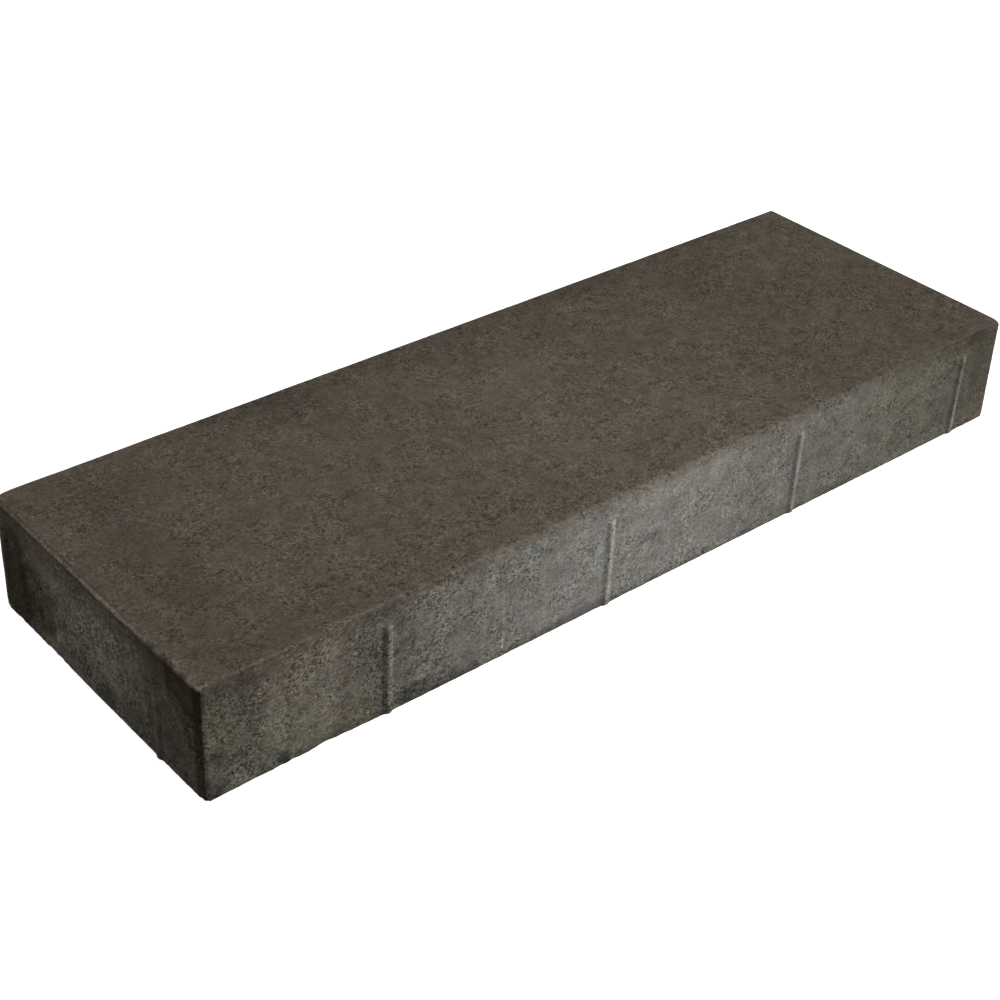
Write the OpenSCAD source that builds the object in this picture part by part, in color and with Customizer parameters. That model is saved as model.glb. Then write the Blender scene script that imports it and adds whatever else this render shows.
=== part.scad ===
// Concrete paving slab: one long pressed block with upright spacer ribs on its four edges.
//
// The slab lies flat, as stored. The origin is under its middle, on the ground: X runs along the
// length, Y across the width and Z up to the walking face. Sizes are in millimetres.

/* [Slab] */
// Length, without the spacer ribs
slab_l = 600; // [400:10:900]
// Width, without the spacer ribs
slab_w = 200; // [150:5:400]
// Thickness
slab_h = 70; // [50:5:120]
// Radius of the four upright corners
corner_r = 3; // [1:0.5:8]
// Width of the small bevel round the walking face
arris_w = 1.5; // [0.5:0.5:5]
// Drop of that bevel from the walking face
arris_h = 1.5; // [0.5:0.5:5]

/* [Spacer ribs] */
// Width of a rib where it meets the slab's edge
rib_w = 8; // [6:0.5:14]
// How far a rib stands out, which is the joint that it keeps to the next slab
rib_proud = 1.2; // [0.8:0.1:3]
// From the walking face down to the upper end of a rib
rib_drop = 12.5; // [8:0.5:30]
// Height of the slope at the upper end of a rib
rib_slope = 2; // [1:0.5:10]
// Distance between ribs along a long side
rib_pitch = 151.5; // [90:0.5:180]
// From an end of the slab to the middle of the first rib on the long side
side_inset = 36; // [20:1:60]
// From a long side to the middle of the rib on the end
end_inset = 41; // [20:1:60]

/* [Hidden] */

// Smoothness of the round corners and ribs
$fn = 64;
// How far a cutting shape runs past what it trims
overrun = 10;

// A rib is the part of an upright round bar that stands out of the slab's edge
rib_r = (pow(rib_w / 2, 2) + pow(rib_proud, 2)) / (2 * rib_proud);
rib_top = slab_h - rib_drop;
// Ribs follow at the pitch, and the last one stays clear of the far corner
side_ribs = 1 + floor((slab_l - side_inset - corner_r - rib_w / 2) / rib_pitch);

// The slab seen from above
module outline() {
    square([slab_l - 2 * corner_r, slab_w], center = true);
    square([slab_l, slab_w - 2 * corner_r], center = true);
    for (x = [-1, 1], y = [-1, 1])
        translate([x * (slab_l / 2 - corner_r), y * (slab_w / 2 - corner_r)])
            circle(r = corner_r);
}

// The slab cut across at a width of w, with the bevels at its two upper corners
module cross_section(w) {
    polygon([
        [-w / 2, 0],
        [w / 2, 0],
        [w / 2, slab_h - arris_h],
        [w / 2 - arris_w, slab_h],
        [arris_w - w / 2, slab_h],
        [-w / 2, slab_h - arris_h]
    ]);
}

// The block without its ribs
module block() {
    intersection() {
        linear_extrude(slab_h) outline();
        rotate([90, 0, 0])
            linear_extrude(slab_w + 2 * overrun, center = true) cross_section(slab_l);
        rotate([90, 0, 90])
            linear_extrude(slab_l + 2 * overrun, center = true) cross_section(slab_w);
    }
}

// One rib on a face that looks along -Y, with the face at y = 0
module rib() {
    intersection() {
        translate([0, rib_r - rib_proud, 0]) cylinder(h = rib_top, r = rib_r);
        // Seen along X: the upper end slopes back into the face
        rotate([90, 0, 90])
            linear_extrude(rib_w + 2 * overrun, center = true)
                polygon([
                    [-rib_proud, 0],
                    [rib_proud, 0],
                    [rib_proud, rib_top],
                    [0, rib_top],
                    [-rib_proud, rib_top - rib_slope]
                ]);
    }
}

// The ribs of one long side and one end
module rib_set() {
    for (i = [0 : side_ribs - 1])
        translate([slab_l / 2 - side_inset - i * rib_pitch, -slab_w / 2, 0]) rib();
    translate([-slab_l / 2, end_inset - slab_w / 2, 0]) rotate(-90) rib();
}

// The other side and end have the same ribs, turned half a turn. So the ribs of two slabs laid side
// by side fall between each other, and each rib meets a flat edge
module paving_slab() {
    color([0.36, 0.34, 0.30])
        union() {
            block();
            for (turn = [0, 180]) rotate(turn) rib_set();
        }
}

paving_slab();
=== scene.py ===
# %% [markdown]
# # A pressed concrete paving slab
#
# The object is one block of concrete, shaken and pressed in a steel mould: a dark, fine-grained
# walking face, paler and rougher sides, and upright ribs that keep the joint to the next slab. In
# Blender it could be a plain box under a concrete material, but then its edges would be too straight
# and its sides too smooth. So this lesson builds one dense mesh, ring by ring, roughens it as the
# mould and handling do, and keeps the finest grain for the material.

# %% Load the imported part
import math
import random

import bpy
import numpy as np
from mathutils import Matrix, Vector, noise


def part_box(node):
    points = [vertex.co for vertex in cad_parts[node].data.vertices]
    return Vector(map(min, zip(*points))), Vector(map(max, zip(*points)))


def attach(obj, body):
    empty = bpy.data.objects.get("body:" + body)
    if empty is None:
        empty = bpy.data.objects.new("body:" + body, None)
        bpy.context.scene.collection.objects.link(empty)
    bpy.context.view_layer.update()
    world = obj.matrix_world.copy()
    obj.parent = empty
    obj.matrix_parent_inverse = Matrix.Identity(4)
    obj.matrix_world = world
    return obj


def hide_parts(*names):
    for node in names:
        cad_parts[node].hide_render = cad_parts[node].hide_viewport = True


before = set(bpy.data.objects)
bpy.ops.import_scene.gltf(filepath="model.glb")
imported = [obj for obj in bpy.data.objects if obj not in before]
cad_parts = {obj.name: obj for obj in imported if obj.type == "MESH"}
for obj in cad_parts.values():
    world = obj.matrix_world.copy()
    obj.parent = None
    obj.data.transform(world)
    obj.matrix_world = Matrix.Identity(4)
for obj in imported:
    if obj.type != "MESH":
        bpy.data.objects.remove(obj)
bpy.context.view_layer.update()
MM = 0.001
low, high = (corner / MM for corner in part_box("paving_slab"))
print("CAD box, mm:", [round(v, 1) for v in low], [round(v, 1) for v in high])

# %% [markdown]
# ## The sizes
#
# Everything follows from the slab's box and from the few sizes that the mould gives: the ribs, the
# small bevel round the walking face and the round upright corners. Lengths are in millimetres until
# the mesh is made, because that is how a slab is measured.

# %% Sizes of the mould
RIB_PROUD, RIB_WIDTH = 1.2, 8.0
RIB_DROP, RIB_SLOPE = 12.5, 2.0
RIB_PITCH, SIDE_INSET, END_INSET = 151.5, 36.0, 41.0
CORNER, BEVEL, FOOT_ROUND = 3.0, 1.5, 0.3

half_x = (high.x - low.x) / 2 - RIB_PROUD
half_y = (high.y - low.y) / 2 - RIB_PROUD
height = high.z - low.z
rib_top = height - RIB_DROP
ribs_per_side = 1 + int((2 * half_x - SIDE_INSET - CORNER - RIB_WIDTH / 2) // RIB_PITCH)
front_ribs = [half_x - SIDE_INSET - i * RIB_PITCH for i in range(ribs_per_side)]
end_rib = END_INSET - half_y
print("block, mm:", 2 * half_x, 2 * half_y, height, "ribs on the front at", front_ribs)

# %% [markdown]
# ## Where the points go
#
# The mesh is a stack of rings round the slab. Points are needed most where the surface turns: at the
# corners, at the ribs and at a thin drip of paste on the front. Even spacing would waste them on the
# flat, so the spacing follows a crowding curve: its running total is cut into equal shares.
#
# Two small curves do much of the shaping from here on. A hump is a soft bell round a place, and a
# ramp is a straight rise from one place to another.


# %% Spacing that crowds where the shape turns
def hump(value, middle, reach):
    """1 at the middle and less on both sides of it; about a third is left at the reach."""
    return np.exp(-(((value - middle) / reach) ** 2))


def ramp(value, start, end):
    """0 up to the start, 1 from the end on and straight between; the end may be the lower one."""
    return np.clip((value - start) / (end - start), 0, 1)


def spread(start, end, count, spots, crowd=3.0, reach=4.0):
    """count + 1 places from start to end, closest together round the spots."""
    fine = np.linspace(start, end, 4001)
    density = np.ones_like(fine)
    for spot in spots:
        density += crowd * hump(fine, spot, reach)
    total = np.concatenate([[0], np.cumsum((density[1:] + density[:-1]) / 2)])
    return np.interp(np.linspace(0, total[-1], count + 1), total, fine)


# The grids that close the top and the underside take every second and every third place, so the
# counts along and across divide by two and by three
TOP_STEP, FOOT_STEP = 2, 3
ALONG, ACROSS, UP = 432, 144, 48
DRIP = -115.0
along_spots = [-half_x, half_x, DRIP, *front_ribs, *(-x for x in front_ribs)]
xs = spread(-half_x, half_x, ALONG, along_spots)
ys = spread(-half_y, half_y, ACROSS, [-half_y, half_y, end_rib, -end_rib])
zs = spread(FOOT_ROUND, height - BEVEL, UP, [0, rib_top, height])
print("spacing along, mm:", round(np.diff(xs).min(), 2), "to", round(np.diff(xs).max(), 2))

# %% [markdown]
# ## The rings
#
# A box with a Bevel modifier would give the shape, but not points where the wear needs them. So each
# ring is the outline seen from above, drawn in by an inset and set at a height. A list of inset and
# height pairs is then a profile: from the underside, round the foot, up the side, over the bevel and
# onto the walking face.

# %% Outline and profile
outline = np.array(
    [(x, -half_y) for x in xs[:-1]]
    + [(half_x, y) for y in ys[:-1]]
    + [(x, half_y) for x in xs[:0:-1]]
    + [(-half_x, y) for y in ys[:0:-1]]
)
foot = [(6.0, 0.0), (3.4, 0.0), (1.6, 0.0), (FOOT_ROUND, 0.0), (0.08, 0.08)]
side = [(0.0, z) for z in zs]
bevel = [(0.25, height - 1.15), (0.62, height - 0.72), (1.05, height - 0.32), (BEVEL, height)]
rim = [(2.1, height), (3.0, height), (4.4, height)]
profile = np.array(foot + side + bevel + rim)
print("points in a ring:", len(outline), "rings:", len(profile))

# %% [markdown]
# A rectangle's corner becomes round by turning each small square ring at the corner into an arc. The
# ribs swell out of the face in one soft wave, with a fillet at each foot as a steel mould gives, and
# a short slope at the upper end.


# %% Round corners and ribs
def round_corners(x, y):
    """Points of a sharp-cornered plan, moved to one with round corners."""
    a, b = np.abs(x) - (half_x - CORNER), np.abs(y) - (half_y - CORNER)
    near = (a > 0) & (b > 0)
    radius, lesser = np.maximum(a, b), np.minimum(a, b)
    angle = np.where(near, math.pi / 4 * lesser / np.where(near, radius, 1), 0)
    far, close = radius * np.cos(angle), radius * np.sin(angle)
    new_x = np.sign(x) * (half_x - CORNER + np.where(a >= b, far, close))
    new_y = np.sign(y) * (half_y - CORNER + np.where(a >= b, close, far))
    return np.where(near, new_x, x), np.where(near, new_y, y)


def rib_swell(along, z, places):
    """How far the face stands out at a place along it, for ribs at the given places."""
    swell = np.zeros(np.broadcast(along, z).shape)
    for place in places:
        off = np.clip(np.abs(along - place) / (RIB_WIDTH / 2), 0, 1)
        swell = np.maximum(swell, RIB_PROUD * (0.5 + 0.5 * np.cos(math.pi * off)))
    return swell * ramp(z, rib_top, rib_top - RIB_SLOPE)


RIB_FADE = 3.0


def ring(inset, z):
    """One ring of points at an inset from the outline and at a height; ribs fade out inwards."""
    x = outline[:, 0] * (half_x - inset) / half_x
    y = outline[:, 1] * (half_y - inset) / half_y
    hold = max(0.0, 1 - inset / RIB_FADE)
    on_end = np.abs(outline[:, 0]) >= half_x
    on_side = np.abs(outline[:, 1]) >= half_y
    front_back = rib_swell(x * -np.sign(y), z, front_ribs)
    left_right = rib_swell(y * -np.sign(x), z, [end_rib])
    grow_x = np.where(on_end, left_right * hold * np.sign(x), 0)
    grow_y = np.where(on_side, front_back * hold * np.sign(y), 0)
    x, y = round_corners(x, y)
    return np.stack([x + grow_x, y + grow_y, np.full_like(x, z)], axis=1)


rings = np.stack([ring(inset, z) for inset, z in profile])
print("widest ring, mm:", rings[..., 0].max().round(2), rings[..., 1].max().round(2))

# %% [markdown]
# ## Closing the top and the underside
#
# One big face could close each of the flat sides, but then nothing on it could be roughened or
# painted. They need fewer points than the edges, though, so they are filled by coarser grids. The
# cells between a ring and a grid have several short edges on the outside and one long edge inside.
# Blender takes such many-sided faces as they are.


# %% Grids for the flat faces
def grid_points(step, inset, z):
    """The points of a coarse grid, using every step-th station, drawn in by an inset."""
    x, y = np.meshgrid(xs[::step], ys[::step], indexing="ij")
    x, y = x * (half_x - inset) / half_x, y * (half_y - inset) / half_y
    x, y = round_corners(x, y)
    return np.stack([x, y, np.full_like(x, z)], axis=-1)


def grid_border(shape):
    """Grid places round its border, in the same order as the points of a ring."""
    last_x, last_y = shape[0] - 1, shape[1] - 1
    return (
        [(i, 0) for i in range(last_x)]
        + [(last_x, j) for j in range(last_y)]
        + [(i, last_y) for i in range(last_x, 0, -1)]
        + [(0, j) for j in range(last_y, 0, -1)]
    )


def cap_faces(points, first, ring_start, step):
    """Faces of a flat grid and of the cells that join it to a ring, seen from above."""
    width = points.shape[1]

    def index(i, j):
        return first + i * width + j

    faces = [
        (index(i, j), index(i + 1, j), index(i + 1, j + 1), index(i, j + 1))
        for i in range(points.shape[0] - 1)
        for j in range(width - 1)
    ]
    border = [index(i, j) for i, j in grid_border(points.shape)]
    count = len(outline)
    for k, corner in enumerate(border):
        fine = [ring_start + (k * step + s) % count for s in range(step + 1)]
        faces.append((*fine, border[(k + 1) % len(border)], corner))
    return faces


TOP_INSET, FOOT_INSET = 6.6, 9.0
top_grid = grid_points(TOP_STEP, TOP_INSET, height)
foot_grid = grid_points(FOOT_STEP, FOOT_INSET, 0.0)
print("grid points on top:", top_grid.shape[0] * top_grid.shape[1])

# %% [markdown]
# Blender makes a mesh from a list of points and a list of faces. A face names its points by number,
# anticlockwise as seen from outside, so the faces of the underside are turned round.

# %% Put the block together
count, levels = len(outline), len(rings)
faces = [
    (r * count + k, r * count + (k + 1) % count, (r + 1) * count + (k + 1) % count, (r + 1) * count + k)
    for r in range(levels - 1)
    for k in range(count)
]
faces += cap_faces(top_grid, levels * count, (levels - 1) * count, TOP_STEP)
foot_first = levels * count + top_grid[..., 0].size
faces += [face[::-1] for face in cap_faces(foot_grid, foot_first, 0, FOOT_STEP)]
points = np.concatenate([rings.reshape(-1, 3), top_grid.reshape(-1, 3), foot_grid.reshape(-1, 3)])

mesh = bpy.data.meshes.new("pressed_slab")
mesh.from_pydata(points.tolist(), [], faces)
mesh.update()
normals = np.array([v.normal for v in mesh.vertices])
print("points:", len(points), "faces:", len(faces), "triangles:", sum(len(f) - 2 for f in faces))

# %% [markdown]
# ## Roughness of the cast
#
# A mould face leaves the concrete a little wavy and finely pitted, and pulling the mould off drags
# the sides upwards. A Displace modifier could do it with one texture, but the marks run different
# ways. So noise is read at every point, stretched along the way of the mark, and summed up as
# relief: what is taken off. The walking face loses less than a tenth of a millimetre. The sides are
# let out again by a little more than they lose, which the ribs leave room for. The drip ran down the
# front and stands out most near the foot.

# %% Helpers for noise
x, y, z = points.T
inset = np.clip(np.minimum(half_x - np.abs(x), half_y - np.abs(y)), 0, None)
from_foot = np.hypot(z, inset)
from_rim = np.hypot(height - z, inset)
on_side = (inset < 0.5) & (z > 0.5) & (z < height - 0.5)


def rough(size, seed, stretch=1.0):
    """Smooth noise from 0 to 1 with lumps of a size in mm, stretched upwards."""
    scaled = points / (size, size, size * stretch) + seed * 17.3
    return np.array([0.5 + 0.5 * noise.noise(Vector(p)) for p in scaled])


print("points on the sides:", int(on_side.sum()))

# %% Waves, grain and drag marks
sand_dice = np.random.default_rng(5)
grit = sand_dice.random(len(points))
relief = 0.12 * (rough(70, 1) - 0.5) + 0.10 * (rough(14, 2) - 0.5) + 0.08 * rough(4.5, 3) + 0.05 * grit
relief += on_side * (0.10 * rough(5, 4, stretch=9) + 0.20 * rough(3.2, 5) ** 2 + 0.05 * grit)
LET_OUT, MORE_AT_FOOT, MORE_REACH = 0.28, 0.25, 5
relief -= (LET_OUT + MORE_AT_FOOT * np.exp(-z / MORE_REACH)) * (1 - np.abs(normals[:, 2]))
DRIP_WIDTH, DRIP_END = 0.7, 16.0
drip = hump(x, DRIP, DRIP_WIDTH) * on_side * (y < 0)
relief -= drip * (0.06 + 0.22 * (z < DRIP_END))
print("relief, mm:", relief.min().round(2), "to", relief.max().round(2))

# %% [markdown]
# ## Worn and ragged edges
#
# The foot of the side is where fresh concrete crumbles when the mould comes off. Most of it stays
# straight, and here and there a stretch is ragged. The rim of the walking face only loses single
# grains. Sculpting could do this for one slab of one size, but a formula finds the edge at any size:
# the wear fades with distance from it, and its strength wanders along it. Two upright corners are
# more rubbed than the others: the far left one all the way, the near right one mostly at the top.

# %% Edge wear
RAGGED = [
    # middle of the stretch, its half length, how much is gone at the foot and at the rim
    ((-245, -half_y), 55, 1.0, 0.0),
    ((-half_x, 58), 28, 0.7, 0.0),
    ((-268, half_y), 45, 0.6, 0.7),
    ((140, half_y), 50, 0.9, 0.3),
    ((half_x, -30), 40, 0.8, 0.2),
]
ragged_foot, ragged_rim = 0.0, 0.0
for spot, reach, at_foot, at_rim in RAGGED:
    near = hump(np.hypot(x - spot[0], y - spot[1]), 0, reach)
    ragged_foot, ragged_rim = ragged_foot + at_foot * near, ragged_rim + at_rim * near
FOOT_REACH, RIM_REACH = 1.4, 1.0
notches = np.clip(rough(9, 6) - 0.60, 0, 1)
crumble = 0.45 * rough(5, 8) ** 2 + 0.25 * rough(2.4, 9) ** 2 + 1.3 * notches
crumble += ragged_foot * (0.9 * rough(16, 7) + 0.5 * rough(2.4, 9) ** 2 + 4.0 * notches)
crumble *= np.exp(-from_foot / FOOT_REACH)
relief += crumble
nibble = 0.25 * rough(2.6, 10) ** 2 + 1.6 * np.clip(rough(12, 11) - 0.66, 0, 1) + ragged_rim * rough(16, 7)
relief += nibble * np.exp(-from_rim / RIM_REACH)
FAR_CORNER_WEAR, FAR_CORNER_REACH, RIGHT_CORNER_REACH = 1.5, 5.0, 4.0
from_far_corner = np.hypot(half_x + x, half_y - y)
relief += FAR_CORNER_WEAR * hump(from_far_corner, 0, FAR_CORNER_REACH)
from_right_corner = np.hypot(half_x - x, half_y + y)
relief += (0.1 + z / 60) * hump(from_right_corner, 0, RIGHT_CORNER_REACH)
moved = points - normals * relief[:, None]
print("wear at the foot, mm: up to", crumble.max().round(2))

# %% [markdown]
# ## Pits and chips
#
# Air trapped against the mould leaves round pits, and knocks take scoops out of the edges and the
# corners. Boolean cuts would leave sliver faces in a mesh as dense as this. So both are balls
# pressed into the surface: a point inside the ball moves to its skin, away from the ball's middle.
# How far it moved is remembered, so that the material can darken it as painted shade in the hollow.

# %% Press balls into the surface
hollow = np.zeros(len(points))
dice = random.Random(7)


def scoop(middle, radius, rise=0.0):
    """Pushes points out of a ball; rise roughens its skin."""
    arms = moved - np.array(middle)
    far = np.linalg.norm(arms, axis=1)
    inside = np.flatnonzero(far < radius * (1 + rise))
    for i in inside:
        skin = radius * (1 + rise * noise.noise(Vector(moved[i] / 2.5)))
        if far[i] < skin:
            step = arms[i] / max(far[i], 1e-6) * (skin - far[i])
            moved[i] += step
            hollow[i] = max(hollow[i], np.linalg.norm(step))


def rib_near(px, py, way):
    """Whether a place on the side lies on a rib, where the mould presses the concrete tight."""
    along = px * way if abs(py) >= half_y else py * way
    places = front_ribs if abs(py) >= half_y else [end_rib]
    return any(abs(along - place) < RIB_WIDTH / 2 + 2 for place in places)


PITS, LEAST_PIT, SPARE_PIT = 340, 0.9, 1.3  # how many, and their radius in mm
for _ in range(PITS):
    px, py = outline[dice.randrange(count)]
    out = np.array([np.sign(px) * (abs(px) >= half_x), np.sign(py) * (abs(py) >= half_y), 0.0])
    radius = LEAST_PIT + SPARE_PIT * dice.random() ** 4
    depth = radius * dice.uniform(0.3, 0.7)
    pz = dice.uniform(2, height - 6)
    if not rib_near(px, py, -out.sum()):
        scoop(np.array([px, py, pz]) + out * (radius - depth), radius)
print("points in pits:", int((hollow > 0.05).sum()))

# %% Chips at corners and edges
CHIPS = [
    # place on the slab's edge, way out, radius, depth
    ((-half_x, half_y, 0), (-1, 1, -1), 14, 3.8),
    ((-half_x, -half_y, 0), (-1, -0.2, -0.9), 12, 1.7),
    ((half_x, -half_y, 0), (1, -1, -1), 8, 1.6),
    ((half_x, half_y, 0), (1, 1, -1), 11, 2.4),
    ((-249, -half_y, 0), (0, -1, -1), 4, 0.9),
    ((-216, -half_y, 0), (0, -1, -1), 5, 0.8),
    ((-half_x, 38, 0), (-1, 0, -1), 6, 0.9),
    ((120, half_y, height), (0, 1, 1), 5, 0.8),
    ((half_x, 22, height), (1, 0, 1), 4, 0.7),
]
for spot, out, radius, depth in CHIPS:
    way = np.array(out, float) / np.linalg.norm(out)
    scoop(np.array(spot, float) + way * (radius - depth), radius, rise=0.12)
print("chips:", len(CHIPS), "deepest take, mm:", hollow.max().round(2))

# %% [markdown]
# ## Stains, worn places and painted shade
#
# Marks are tied to places: the foot is darker in long stretches, the left end is darker towards its corners
# and paler in the middle, and the crest of a rib that the mould polished is paler. A few narrow rows on the
# left end are painted shade: beside its rib, beside its front corner and under its arris. Each is a soft
# blob on one face, with its outline broken up by noise, and with a cast: how strongly it takes away or adds
# red, green and blue.
# The mesh is dense enough to carry them, so they are painted on its points as a factor on the colour,
# which costs the material nothing.

# %% Stains
GREY, BROWN, OLIVE = (1.0, 1.0, 1.0), (0.92, 1.0, 1.09), (1.03, 0.96, 1.03)
BLUE, PINK = (1.03, 1.0, 0.97), (0.96, 1.05, 1.0)
RUST, ASH = (1.0, 0.0, -0.9), (-0.8, 0.0, 1.1)
STAINS = {
    # along the face, up, half sizes, change of tone, cast
    "front": [
        (-280, 3, 14, 7, 0.34, GREY),
        (-245, 0, 30, 9, -0.13, OLIVE),
        (-254, 5, 6, 7, -0.55, BLUE),
        (-216, 1, 22, 8, -0.20, BROWN),
        (-174, 3, 18, 12, -0.44, BLUE),
        (-146, 0, 24, 9, -0.38, BLUE),
        (-50, -1, 90, 9, -0.36, GREY),
        (50, -1, 60, 7, -0.22, GREY),
        (130, -2, 70, 8, -0.16, OLIVE),
        (250, 4, 70, 7, 0.24, GREY),
        (272, 66, 15, 7, -0.32, GREY),
        (-296, 4, 6, 8, -0.30, GREY),
        (-291, 24, 7, 6, -0.35, PINK),
        (-276, 58, 10, 12, -0.20, PINK),
        (-284, 34, 22, 60, -0.08, GREY),
        (-242, 40, 32, 60, 0.22, GREY),
        (-190, 65, 4, 5, -0.30, GREY),
        (-187, 40, 24, 60, -0.20, GREY),
        (-175, 42, 12, 22, 0.05, PINK),
        (-148, 69, 22, 4, -0.22, BROWN),
        (-79, 40, 6, 5, -0.14, GREY),
        (8, 48, 16, 7, -0.10, BLUE),
        (-6, 33, 12, 5, -0.12, BLUE),
        (81, 40, 14, 44, -0.09, GREY),
        (198, 38, 66, 80, 0.19, GREY),
        (185, 36, 110, 60, 0.04, ASH),
        (240, 3, 80, 9, 0.05, ASH),
        (-265, 2, 45, 9, 0.10, ASH),
        (225, 66, 40, 14, -0.10, GREY),
        (215, 69, 16, 8, -0.10, GREY),
        (243, 36, 12, 44, -0.06, GREY),
        (284, 50, 26, 44, -0.18, GREY),
    ],
    "left": [
        (80, 26, 21, 46, -0.62, BROWN),
        (63, 26, 15, 34, -0.44, BROWN),
        (50, 20, 11, 17, -0.42, BROWN),
        (40, 35, 9, 6, -0.22, BROWN),
        (88, 36, 2.4, 44, -0.25, GREY),
        (94, 40, 2.2, 44, 0.55, GREY),
        (38, 50, 11, 10, 0.16, GREY),
        (18, 54, 5, 6, -0.22, BLUE),
        (-3, 38, 36, 24, 0.28, GREY),
        (35, 16, 6, 8, 0.30, GREY),
        (14, 10, 14, 9, -0.15, GREY),
        (-8, 6, 11, 10, -0.40, BLUE),
        (-36, 14, 14, 14, -0.25, GREY),
        (-66, 30, 26, 70, -0.27, GREY),
        # painted shade: a dark row just under the arris of the left end
        (-64, 65, 46, 6, -0.28, BROWN),
        (-84, 57, 18, 20, -0.52, BROWN),
        (-78, 30, 34, 40, 0.04, RUST),
        (-75, 56, 32, 12, 0.06, RUST),
        (20, 64, 90, 5, 0.04, RUST),
        # the next two narrow rows are painted shade, beside the end rib and beside the front corner
        (-61, 30, 3, 60, -0.12, GREY),
        (-91, 30, 7, 40, -0.12, GREY),
        (0, 36, 110, 60, 0.025, ASH),
        (0, 64, 30, 10, -0.14, GREY),
    ],
    "top": [
        (0, 97, 330, 16, -0.12, GREY),
        (-262, 8, 26, 90, -0.13, GREY),
        (-142, 84, 50, 26, -0.16, GREY),
        (0, -10, 80, 70, 0.09, GREY),
        (-240, -60, 30, 30, 0.06, OLIVE),
        (205, -68, 150, 46, -0.05, GREY),
    ],
    "back": [
        (150, -2, 60, 14, -0.36, BLUE),
        (-210, 4, 50, 16, -0.30, BROWN),
        (40, 40, 60, 40, 0.10, GREY),
        (-60, 52, 40, 20, -0.14, OLIVE),
    ],
    "right": [
        (40, 0, 40, 16, -0.36, BROWN),
        (-30, 40, 36, 30, 0.12, GREY),
        (84, 50, 20, 30, -0.30, BROWN),
    ],
}
ways = {"front": (0, -1, 0), "back": (0, 1, 0), "left": (-1, 0, 0), "right": (1, 0, 0), "top": (0, 0, 1)}
plans = {"front": (x, z), "back": (x, z), "left": (y, z), "right": (y, z), "top": (x, y)}
STRAY, STRAY_MOST, FULL = 1.1, 16, 0.55
stray = np.stack([rough(9, 20) + 0.4 * rough(3, 23), rough(9, 21) + 0.4 * rough(3, 24)]) - 0.7
tone = np.ones((len(points), 3))
for face, marks in STAINS.items():
    on_face = np.flatnonzero(normals @ np.array(ways[face], float) > 0.6)
    plan = np.stack(plans[face])[:, on_face]
    for u, v, half_u, half_v, change, cast in marks:
        drift = STRAY * min(half_u, half_v, STRAY_MOST) * stray[:, on_face]
        away = np.hypot((plan[0] + drift[0] - u) / half_u, (plan[1] + drift[1] - v) / half_v)
        soft = ramp(away, 1, FULL)
        soft = soft * soft * (3 - 2 * soft)
        tone[on_face] *= 1 + change * soft[:, None] * np.array(cast)
print("stains:", sum(len(marks) for marks in STAINS.values()))
print("tone:", tone.min().round(2), "to", tone.max().round(2))

# %% [markdown]
# ## Marks that follow an edge
#
# Other marks aren't blobs: they run along a rib or an edge. They could be painted by hand, and would have
# to be painted again for every size. As formulas of the distance to their edge they stay where they belong.
# First the ribs, rubbed pale on the crest, with painted shade in a line beside each, on the side turned
# from the key light. Then the drip, which is pale, and painted shade along the foot, darkest at its edge.

# %% Ribs, drip and foot
RIB_RUB = dict(zip(front_ribs, (0.95, 0.52, 0.50, 0.65)))
RIB_SHADE = dict(zip(front_ribs, (0.10, 0.15, 0.10, 0.50)))
CREST_OFF, CREST_FULL, CREST_END = 0.6, 0.6, 2.1
RIB_SHADE_OFF, RIB_SHADE_WIDTH = -3.3, 0.9
END_RIB_RUB, DRIP_PALE, FOOT_SHADE, FOOT_SHADE_REACH = 0.25, 0.60, 0.24, 2.6
below_rib_top = ramp(z, rib_top, rib_top - RIB_SLOPE)
for px in front_ribs:
    for way in (1, -1):
        near = (normals[:, 1] * way < -0.6) * below_rib_top
        crest = ramp(np.abs(x - way * px - CREST_OFF), CREST_END, CREST_FULL) * near
        # A dark line on the -x flank of each rib is painted shade, on the side turned from the key light.
        rib_shade_line = hump(x, way * px + RIB_SHADE_OFF, RIB_SHADE_WIDTH) * near
        tone *= (1 + RIB_RUB[px] * crest - RIB_SHADE[px] * rib_shade_line)[:, None]
crest = rib_swell(y * -np.sign(x), z, [end_rib]) * (np.abs(x) > half_x - 2) / RIB_PROUD
tone *= (1 + END_RIB_RUB * np.clip(crest - 0.2, 0, 1))[:, None]
tone *= (1 + DRIP_PALE * drip * (0.2 + 0.8 * (z < DRIP_END)))[:, None]
# Painted shade along the foot: darkest at its edge and fading within a few millimetres.
tone *= (1 - FOOT_SHADE * np.exp(-from_foot / FOOT_SHADE_REACH) * (0.5 + rough(7, 26)))[:, None]
print("with ribs, drip and foot:", tone.min().round(2), "to", tone.max().round(2))

# %% [markdown]
# The arris is the edge of the walking face. On the left end other slabs slid over it and scraped it pale,
# in a band that gets deeper towards the front until just before the corner. It is palest in the middle of
# the end, and again a little in front of the rib. A darker line below it is painted shade.

# %% Scraped arris of the left end
SCRAPE_SOFT, SCRAPE = 0.6, 0.80
ARRIS_SHADE, ARRIS_SHADE_WIDTH = 0.48, 1.1
under_rim = height - z
on_left = normals[:, 0] < -0.35
scrape_depth = 1.7 + 0.8 * ramp(y, 6, -4) + 0.8 * ramp(y, -52, -60) - ramp(y, -92, -96)
scraped = on_left * np.clip((scrape_depth - under_rim) / SCRAPE_SOFT, 0, 1) * (0.55 + 0.9 * rough(5, 27))
most_scraped = hump(y, -5, 42) * ramp(under_rim, 0.2, 1.2)
nearer, past_rib = ramp(y, -30, -45), ramp(y, end_rib + 1, end_rib - 5)
tone *= (1 + (SCRAPE + most_scraped - 0.38 * nearer + 0.50 * past_rib) * scraped)[:, None]
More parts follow.
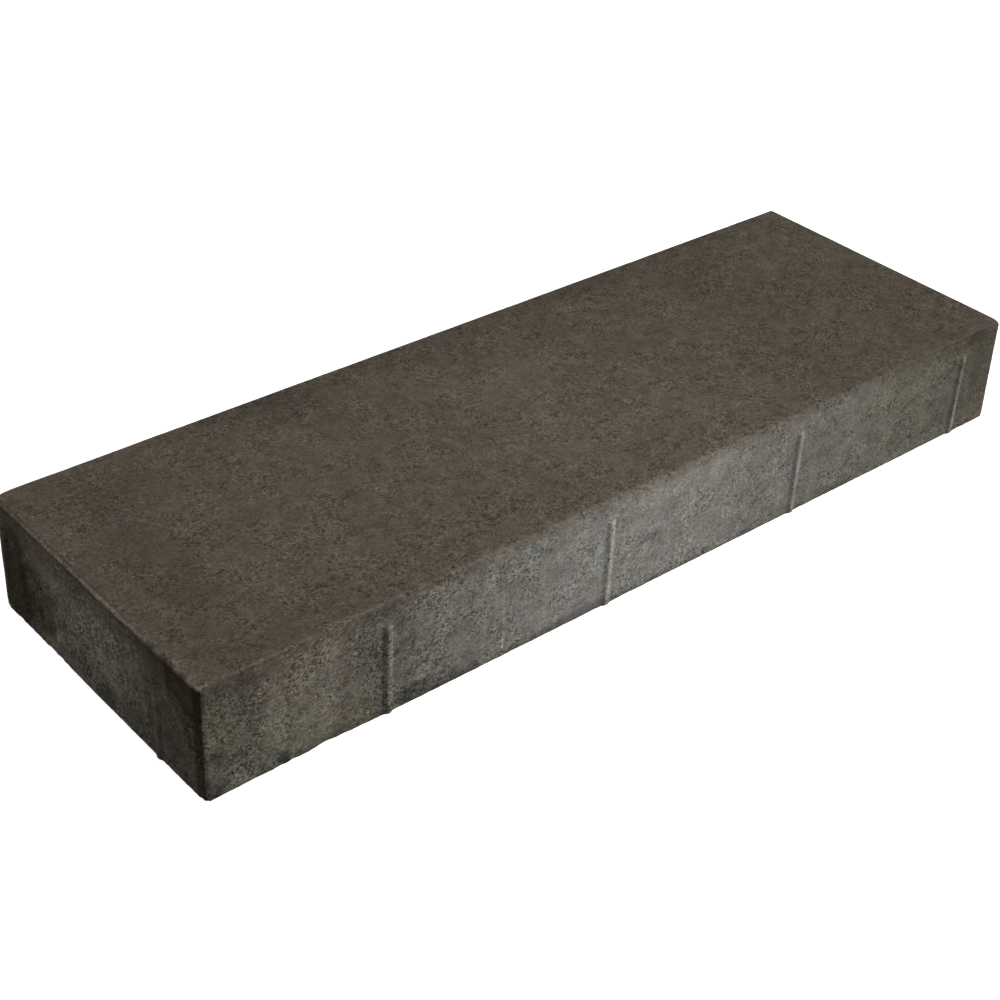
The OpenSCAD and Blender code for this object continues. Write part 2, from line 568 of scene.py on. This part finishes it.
# Painted shade: a dark line just under the scraped arris.
arris_shade_line = on_left * hump(under_rim, 3.9 - 0.8 * ramp(y, 5, 15), ARRIS_SHADE_WIDTH)
tone *= (1 - ARRIS_SHADE * arris_shade_line * ramp(rough(24, 28), 1.2, 0.2))[:, None]
print("arris scraped, mm down: up to", scrape_depth.max().round(2))

# %% [markdown]
# On the walking face itself a pale strip runs behind the front edge and gets stronger to the left.
# Another, along the near part of the left edge, is pale and partly painted light: it lifts the rim where
# the bevel tilts away from the lamps. A thin dark line runs along the rest of it. The front bevel is a
# little darker towards both ends, and all that is rubbed is greyer than the facing.

# %% Rim of the walking face
FRONT_STRIP_WIDTH, LEFT_STRIP_REACH = 2.6, 3.0
LEFT_LINE_IN, LEFT_LINE_WIDTH = 1.6, 0.6
on_top, on_bevel, on_front = normals[:, 2] > 0.6, normals[:, 2] > 0.5, normals[:, 1] < -0.35
behind_front, behind_left = y + half_y, x + half_x
front_strip = on_top * ramp(behind_front, 0.7, 1.6) * hump(behind_front, 0, FRONT_STRIP_WIDTH)
# The near left strip is partly painted light, lifting the rim where its bevel turns from the lamps.
left_strip = on_bevel * np.exp(-behind_left / LEFT_STRIP_REACH) * nearer
left_line = on_bevel * hump(behind_left, LEFT_LINE_IN, LEFT_LINE_WIDTH) * (1 - nearer)
rubbed_grey = (on_left | on_front) * ramp(under_rim, 2.2, 1.2)
tone *= (1 - 0.24 * on_front * (under_rim < 1.6) * ramp(np.abs(x + 20), 104, 234))[:, None]
tone *= (1 + front_strip * np.clip(0.42 - x / 800, 0.03, 0.72))[:, None]
tone *= (1 + 0.52 * left_strip - 0.22 * left_line)[:, None]
tone *= 1 + front_strip[:, None] * np.array((-0.03, 0.0, 0.09))
tone *= 1 + rubbed_grey[:, None] * np.array((-0.01, 0.0, 0.07))
print("points in the front strip:", int((front_strip > 0.1).sum()))

# %% [markdown]
# Last comes a band on the left end beside the front corner, darkened as painted shade where the corner
# turns between the lit front and the lit end, and a slight unevenness of tint over the whole slab, because
# no mix is quite the same throughout.

# %% Painted shade at the corner, and tints
CORNER_SHADE, CORNER_SHADE_EDGE, CORNER_SHADE_FULL = (0.67, 0.70, 0.73), 9.0, 5.5
on_end_below = (normals[:, 0] < -0.75) * (under_rim > 2.0)
from_front = half_y + y + 3.0 * (rough(12, 29) - 0.5)
# A dark band on the left end beside the front corner: painted shade of the corner's turn.
corner_shade_band = on_end_below * ramp(from_front, CORNER_SHADE_EDGE, CORNER_SHADE_FULL) * np.clip(0.8 + z / 200, 0, 1)
tone *= 1 - corner_shade_band[:, None] * np.array(CORNER_SHADE)
tints = (rough(11, 30) - 0.5)[:, None] * np.array((0.09, 0.0, -0.11))
tints += (rough(13, 31) - 0.5)[:, None] * np.array((0.0, 0.10, 0.0))
tone *= 1 + tints
print("with all marks:", tone.min().round(2), "to", tone.max().round(2))

# %% [markdown]
# ## The finished mesh
#
# The points go back in metres, and those that stick out of the CAD part's box, such as grains on
# the crest of a rib, are put back on it. Smooth shading hides the facets. The tone and the amount
# scooped away travel with the mesh as attributes.

# %% Make the piece
moved = np.clip(moved, np.array(low), np.array(high))
mesh.vertices.foreach_set("co", (moved * MM).ravel())
mesh.polygons.foreach_set("use_smooth", [True] * len(mesh.polygons))
mesh.attributes.new("hollow", "FLOAT", "POINT").data.foreach_set("value", hollow)
mesh.attributes.new("tone", "FLOAT_VECTOR", "POINT").data.foreach_set("vector", tone.ravel())
mesh.update()
slab = bpy.data.objects.new("pressed_slab", mesh)
bpy.context.collection.objects.link(slab)
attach(slab, "root")
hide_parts("paving_slab")
print("slab, m:", [round(v, 4) for v in slab.dimensions])

# %% [markdown]
# ## Writing a material as sums
#
# Node trees are easier to read as sums. This small class wraps a node's output: adding or
# multiplying two of them adds the Math node that does it, and one method makes any other node.


# %% A socket that works in sums
class Wire:
    """A node's output that adds, subtracts and multiplies like a number."""

    tree = None

    def __init__(self, socket):
        self.socket = socket

    @classmethod
    def node(cls, kind, settings=None, inputs=None, output=0):
        """Makes a node: its settings first, then the values or links of its sockets."""
        made = cls.tree.nodes.new("ShaderNode" + kind)
        for name, value in (settings or {}).items():
            setattr(made, name, value)
        for name, value in (inputs or {}).items():
            cls.plug(made.inputs[name], value)
        return cls(made.outputs[output])

    @classmethod
    def plug(cls, socket, value):
        if isinstance(value, Wire):
            cls.tree.links.new(value.socket, socket)
        else:
            socket.default_value = value

    def math(self, operation, *others, first=None):
        values = (self, *others) if first is None else (first, self)
        return Wire.node("Math", {"operation": operation}, dict(enumerate(values)))

    def __add__(self, other):
        return self.math("ADD", other)

    __radd__ = __add__

    def __mul__(self, other):
        return self.math("MULTIPLY", other)

    __rmul__ = __mul__

    def __sub__(self, other):
        return self.math("SUBTRACT", other)

    def __rsub__(self, other):
        return self.math("SUBTRACT", first=other)

    def __abs__(self):
        return self.math("ABSOLUTE")

    def most(self, other):
        return self.math("MAXIMUM", other)

    def fade(self, start, end):
        """0 at start, 1 at end, with a soft ramp between; end may be the lower one."""
        inputs = {"Value": self, "From Min": start, "From Max": end}
        return Wire.node("MapRange", {"interpolation_type": "SMOOTHSTEP"}, inputs)


concrete = bpy.data.materials.new("concrete")
concrete.use_nodes = True
Wire.tree = concrete.node_tree
shader = Wire.tree.nodes["Principled BSDF"]
print("material made:", concrete.name)

# %% [markdown]
# ## Reading the place on the slab
#
# Every mark on the slab is tied to where it is: the fine facing mix lies at the top, damp marks at
# the foot, darker edges near the upright corners. So the material starts from the point's own place
# in millimetres.

# %% Place in millimetres
place = Wire.node(
    "VectorMath",
    {"operation": "SCALE"},
    {0: Wire.node("TexCoord", output="Object"), "Scale": 1 / MM},
)
at_x, at_y, at_z = (Wire.node("SeparateXYZ", inputs={0: place}, output=i) for i in range(3))
deep = height - at_z
from_corner = (half_x - abs(at_x)).most(half_y - abs(at_y))
hollowed = Wire.node("Attribute", {"attribute_name": "hollow"}, output="Fac")
toned = Wire.node("Attribute", {"attribute_name": "tone"}, output="Vector")
print("place, hollows and tone ready")

# %% [markdown]
# Two patterns make nearly all of the finish. Noise is cloudy, for what changes slowly. Cells are a
# surface cut into small patches, each with its own random tone: at a millimetre across they are sand.


# %% Noise and cells
def shrunk(size, seed, stretch=(1, 1, 1)):
    """The place, scaled so that a pattern's unit is a size in mm, and moved on by a seed."""
    scale = tuple(1 / (size * s) for s in stretch)
    shift = (seed * 7.1, seed * 3.7, seed * 5.3)
    inputs = {0: place, 1: scale, 2: shift}
    return Wire.node("VectorMath", {"operation": "MULTIPLY_ADD"}, inputs)


def grain(size, seed, detail=2.0, raggedness=0.5, stretch=(1, 1, 1)):
    """Noise about 0.5, with lumps of a size in mm, stretched along an axis."""
    inputs = {"Vector": shrunk(size, seed, stretch), "Scale": 1.0}
    inputs.update({"Detail": detail, "Roughness": raggedness})
    return Wire.node("TexNoise", inputs=inputs)


def cells(size, seed):
    """Grains of a size in mm: how far a place is from its grain's middle, and that grain's tone."""
    inputs = {"Vector": shrunk(size, seed), "Scale": 1.0}
    far = Wire.node("TexVoronoi", {"feature": "F1"}, inputs)
    own_colour = Wire(far.socket.node.outputs["Color"])
    return far, Wire.node("SeparateColor", inputs={0: own_colour})


def blend(mask, under, over):
    """One colour over another, by a mask. The Mix node has a set of sockets for each kind of value,
    with the same names, so those for colours are picked by number."""
    made = Wire.node("Mix", {"data_type": "RGBA"}, output=2)
    node = made.socket.node
    for socket, value in ((node.inputs[0], mask), (node.inputs[6], under), (node.inputs[7], over)):
        Wire.plug(socket, value)
    return made


def srgb(red, green, blue):
    """A colour as a paint chart gives it, 0 to 255, in the linear light that shaders use."""

    def linear(v):
        return v / 12.92 if v <= 0.04045 else ((v + 0.055) / 1.055) ** 2.4

    return (*(linear(v / 255) for v in (red, green, blue)), 1.0)


def tint(colour, factor):
    """A colour made lighter or darker by a factor."""
    return Wire.node("VectorMath", {"operation": "SCALE"}, {0: colour, "Scale": factor})


print("helpers ready")

# %% [markdown]
# ## Sand
#
# Whatever its colour, concrete is mostly sand. Two sizes of grain, each with its own tone, lie among
# soft clumps. In some places the paste covers the sand and the face is calm, in others it is open.

# %% Sand
fine_far, fine_tone = cells(1.0, 1.0)
_, coarse_tone = cells(1.7, 2.0)
clumps = grain(8.0, 3.0, detail=1.5, raggedness=0.6)
open_face = grain(20, 14.0).fade(0.36, 0.64)
grains = (0.6 + 0.8 * open_face) * (0.60 * (fine_tone - 0.5) + 0.45 * (coarse_tone - 0.5))
specks = 0.26 * fine_tone.fade(0.80, 0.96) - 0.36 * fine_tone.fade(0.22, 0.06)
speckle = 1 + (0.62 + 0.5 * open_face) * specks
print("sand sieved")

# %% [markdown]
# ## The walking face
#
# The facing mix is fine and dark brown. Close up it is a salt and pepper of sand grains, and from
# further away it is a little cloudy, because cement paste gathers unevenly when the face is pressed.
# Its surface is more closed away from the left end.

# %% Facing colour
clouds = grain(48, 4.0, detail=3, raggedness=0.6)
closed = at_x.fade(-250, -60)
lightness = 0.5 + 0.78 * grains + (0.54 + 0.18 * closed) * (clumps - 0.5)
facing = blend(lightness, srgb(73, 64.5, 52), srgb(122, 112.5, 98.5))
facing = tint(facing, 1 + 0.48 * (clouds - 0.5))
print("facing coloured")

# %% [markdown]
# ## The sides
#
# The core mix is greyer. The sides are palest in the middle and browner towards the upright corners: the
# brown is the mix's own tint, and the paler middle is partly a painted pool of light. Drag marks run up
# them, and the paste is a little uneven in tint.
# Towards the left end the sand shows more.

# %% Side colour
# Pale in the middle and brown towards the corners: a real tint, and partly a painted pool of light.
tint_and_lit_middle = abs(at_x + 20).fade(240, 40)
streaks = grain(3.6, 6.0, detail=3, stretch=(1, 1, 8))
patches = grain(19, 7.0, detail=3, raggedness=0.6)
rawness = 1.2 - 0.44 * closed
sand = 0.5 + rawness * grains + (0.15 + 0.9 * rawness) * (clumps - 0.5)
pale = blend(sand, srgb(97, 94.4, 88), srgb(150, 147, 140))
brown = blend(sand, srgb(79, 73, 62), srgb(129, 123, 109))
core = tint(blend(tint_and_lit_middle, brown, pale), 1 + 0.30 * (streaks - 0.5) + 0.4 * (patches - 0.5))
print("core coloured")

# %% [markdown]
# The facing reaches furthest down near the upright corners, where the mix was pushed in first, and
# its lower limit wanders. On the left end it comes down over the bevel.

# %% Facing over core
on_left_end = at_x.fade(-half_x + 1.6, -half_x + 0.4)
facing_depth = 0.6 + 2.2 * grain(40, 9.0, detail=3) + 8.5 * from_corner.fade(125, 20) + 4.0 * on_left_end
facing_mask = deep.fade(facing_depth + 5.5, facing_depth - 2.5) * (1 - 0.2 * deep.fade(1, 3))
colour = Wire.node("VectorMath", {"operation": "MULTIPLY"}, {0: blend(facing_mask, core, facing), 1: toned})
print("facing laid over the core")

# %% [markdown]
# ## Pores and pits
#
# Small pores are too fine for the mesh, so they are bump and dark dots of painted shade: only some cells
# hold one, and they gather where the face is open. The larger pits are real hollows, and the attribute says
# where they are, so that they and the chips are darkened by their depth as painted shade.

# %% Pores
pore_far, pore_pick = cells(2.6, 12.0)
pores = pore_far.fade(0.34, 0.16) * pore_pick.fade(0.60, 0.64) * (0.25 + 0.75 * open_face)
pores = pores * (1 - 0.7 * facing_mask)
showing = rawness + facing_mask * (0.76 - rawness)
# Painted shade: pores are dark, and pits and chips are darker the deeper they are.
darkened = (1 - 0.55 * pores) * (1 - 0.5 * hollowed.fade(0.1, 1.2))
colour = tint(colour, (1 + showing * (speckle - 1)) * darkened)
print("pores drilled")

# %% [markdown]
# ## Surface
#
# Single grains are smaller than the mesh's cells. More points could carry them, but no outline shows
# them, so a bump is enough: its height is a sum in millimetres, like all the rest. Concrete hardly
# shines. Its roughness is high, a little different from grain to grain, and the specular level low.

# %% Surface and shader
relief_mm = 0.16 * fine_tone + 0.12 * coarse_tone + 0.25 * clumps - 0.2 * fine_far - 0.4 * pores
bump = Wire.node("Bump", inputs={"Strength": 1.0, "Distance": MM, "Height": relief_mm})
Wire.plug(shader.inputs["Base Color"], colour)
Wire.plug(shader.inputs["Roughness"], 0.80 + 0.15 * fine_tone)
Wire.plug(shader.inputs["Normal"], bump)
shader.inputs["Specular IOR Level"].default_value = 0.15
slab.data.materials.append(concrete)
print("nodes in the material:", len(Wire.tree.nodes))

# %% [markdown]
# ## Floor, light and camera
#
# A studio look for a building material: a pale room with soft light. A floor that is only lit would
# show pools and shadows, so this one glows nearly white and stays plain. It throws no light back on
# the slab, whose left end has to stay dark.


# %% Floor
def room_piece(name, points, faces, finish, grey, roughness, glow):
    """One object of the room round the slab, with a material that glows white."""
    made_mesh = bpy.data.meshes.new(name)
    made_mesh.from_pydata(points, [], faces)
    made = bpy.data.objects.new(name, made_mesh)
    bpy.context.collection.objects.link(made)
    material = bpy.data.materials.new(finish)
    material.use_nodes = True
    sockets = material.node_tree.nodes["Principled BSDF"].inputs
    sockets["Base Color"].default_value = (grey, grey, grey, 1)
    sockets["Roughness"].default_value = roughness
    sockets["Emission Color"].default_value = (1, 1, 1, 1)
    sockets["Emission Strength"].default_value = glow
    made_mesh.materials.append(material)
    made.visible_diffuse = made.visible_glossy = False
    return made


FLOOR = 6.0
floor_points = [(-FLOOR, -FLOOR, 0), (FLOOR, -FLOOR, 0), (FLOOR, FLOOR, 0), (-FLOOR, FLOOR, 0)]
floor = room_piece("floor", floor_points, [(0, 1, 2, 3)], "pale_floor", 0.9, 0.9, 0.92)
print("floor:", 2 * FLOOR, "m square")

# %% [markdown]
# Views from a low angle look over the edge of the floor. A pale dome behind it closes the room for
# the camera alone: light passes through it as if it were not there.

# %% Dome
SEGMENTS, DOME_RINGS = 48, 12
dome_points = []
for rise in np.arange(DOME_RINGS) * math.pi / 2 / DOME_RINGS:
    for way_round in np.arange(SEGMENTS) * math.tau / SEGMENTS:
        out, up = FLOOR * math.cos(rise), FLOOR * math.sin(rise)
        dome_points.append((out * math.cos(way_round), out * math.sin(way_round), up))
dome_points.append((0, 0, FLOOR))
dome_faces = []
for first in range(0, SEGMENTS * DOME_RINGS, SEGMENTS):
    for i in range(SEGMENTS):
        base = (first + i, first + (i + 1) % SEGMENTS)
        if first < SEGMENTS * (DOME_RINGS - 1):
            dome_faces.append((*base, base[1] + SEGMENTS, base[0] + SEGMENTS))
        else:
            dome_faces.append((*base, len(dome_points) - 1))
dome = room_piece("dome", dome_points, dome_faces, "pale_backdrop", 0.0, 0.5, 1.0)
dome.visible_shadow = False
print("dome faces:", len(dome_faces))

# %% [markdown]
# The overhead box is weak: it only shapes the walking face. The key stands at the front right and
# rakes the long side, and a spot adds the pool of light in that side's middle. A second spot lifts
# the left end, which otherwise sees no lamp. The last box lights the back. It is flat and hangs
# below the walking face's height, so that it adds nothing to the top.


# %% Lights
def aimed(name, lamp, place, aim, power):
    """Hangs a lamp at a place, pointed at another; it lights, but no view shows it."""
    lamp.energy = power
    made = bpy.data.objects.new(name, lamp)
    bpy.context.collection.objects.link(made)
    made.location = place
    made.rotation_euler = (Vector(aim) - Vector(place)).to_track_quat("-Z", "Y").to_euler()
    made.visible_camera = False


def softbox(name, place, aim, power, wide, tall):
    lamp = bpy.data.lights.new(name, "AREA")
    lamp.shape, lamp.size, lamp.size_y = "RECTANGLE", wide, tall
    aimed(name, lamp, place, aim, power)


def soft_spot(name, place, aim, power, degrees, radius):
    lamp = bpy.data.lights.new(name, "SPOT")
    lamp.spot_size, lamp.spot_blend = math.radians(degrees), 1.0
    lamp.shadow_soft_size = radius
    aimed(name, lamp, place, aim, power)


MIDDLE = (0, 0, 0.03)
softbox("overhead", (0.1, 0.1, 1.6), MIDDLE, 5.1, 1.2, 1.2)
softbox("key", (1.4, -1.6, 1.1), MIDDLE, 37, 0.7, 0.7)
soft_spot("pool", (0.85, -0.95, 0.32), (-0.03, -0.1, 0.035), 41, 17, 0.12)
soft_spot("end_pool", (-1.25, 0.15, 0.28), (-0.3, 0.0, 0.04), 10, 19, 0.1)
softbox("back", (0.4, 2.0, 0.036), (0, 0.1, 0.036), 34, 0.8, 0.06)
AMBIENT = 0.12
world = bpy.data.worlds.new("studio")
world.use_nodes = True
world.node_tree.nodes["Background"].inputs["Color"].default_value = (1, 1, 1, 1)
world.node_tree.nodes["Background"].inputs["Strength"].default_value = AMBIENT
bpy.context.scene.world = world
bpy.context.scene.view_settings.view_transform = "Standard"

# %% [markdown]
# The camera looks down over the front left corner from about a metre away. It is rolled by three
# degrees and slid a little sideways.

# %% Camera
AZIMUTH, ELEVATION, ROLL = (math.radians(v) for v in (-42.02, 34.11, 3.06))
DISTANCE, SLIDE = 1.1251, (0.0232, 0.0003)
camera = bpy.data.objects.new("camera", bpy.data.cameras.new("camera"))
camera.data.lens, camera.data.sensor_width = 67.47, 36
backwards = Vector(
    (
        math.sin(AZIMUTH) * math.cos(ELEVATION),
        -math.cos(AZIMUTH) * math.cos(ELEVATION),
        math.sin(ELEVATION),
    )
)
level = Vector((math.cos(AZIMUTH), math.sin(AZIMUTH), 0))
upright = backwards.cross(level)
right = math.cos(ROLL) * level + math.sin(ROLL) * upright
up = math.cos(ROLL) * upright - math.sin(ROLL) * level
turn = Matrix((right, up, backwards)).transposed()
camera.matrix_world = turn.to_4x4()
camera.location = DISTANCE * backwards - SLIDE[0] * right - SLIDE[1] * up
bpy.context.collection.objects.link(camera)
bpy.context.scene.camera = camera
print("camera at", [round(v, 3) for v in camera.location])
